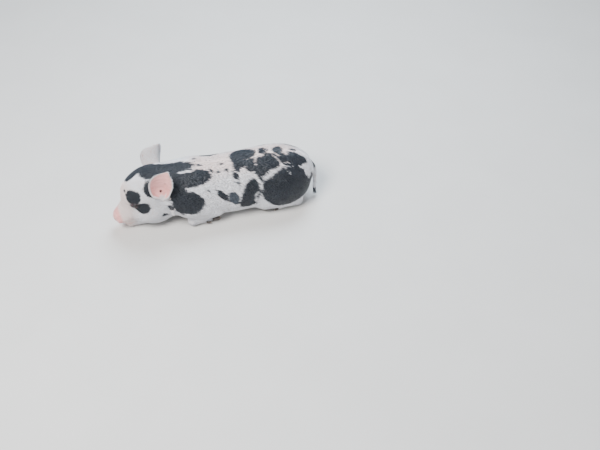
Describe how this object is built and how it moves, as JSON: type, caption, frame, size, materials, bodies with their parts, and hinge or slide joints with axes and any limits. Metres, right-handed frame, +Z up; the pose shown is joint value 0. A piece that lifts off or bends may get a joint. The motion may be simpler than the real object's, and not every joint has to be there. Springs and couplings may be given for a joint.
{
  "type": "kunekune piglet",
  "caption": "Black and white kunekune piglet asleep on its belly, chin down, ears pricked, legs folded under, as a still life-size model.",
  "frame": {"origin": "under the middle of the bounding box, at floor height", "axes": "the nose points to -X, the piglet's left side faces -Y, +Z is up"},
  "size_m": [0.348, 0.1108, 0.1254],
  "materials": {
    "white_coat": "short glossy hair over pale skin",
    "black_coat": "short glossy hair over dark skin",
    "pink_skin": "thin bare skin",
    "eye": "wet",
    "horn": "dull horn"
  },
  "bodies": {
    "root": {"dewclaw_fore_left_inner": "horn", "dewclaw_fore_left_outer": "horn", "dewclaw_fore_right_inner": "horn", "dewclaw_fore_right_outer": "horn", "dewclaw_hind_left_inner": "horn", "dewclaw_hind_left_outer": "horn", "dewclaw_hind_right_inner": "horn", "dewclaw_hind_right_outer": "horn", "ear_left": "pink_skin", "ear_right": "pink_skin", "eye_left": "eye", "eye_right": "eye", "foreleg_left": "white_coat", "foreleg_right": "white_coat", "head": "white_coat", "hindleg_left": "black_coat", "hindleg_right": "black_coat", "hoof_fore_left_inner": "horn", "hoof_fore_left_outer": "horn", "hoof_fore_right_inner": "horn", "hoof_fore_right_outer": "horn", "hoof_hind_left_inner": "horn", "hoof_hind_left_outer": "horn", "hoof_hind_right_inner": "horn", "hoof_hind_right_outer": "horn", "neck": "black_coat", "piri_piri_left": "black_coat", "piri_piri_right": "black_coat", "tail": "white_coat", "torso": "white_coat"}
  },
  "joints": []
}
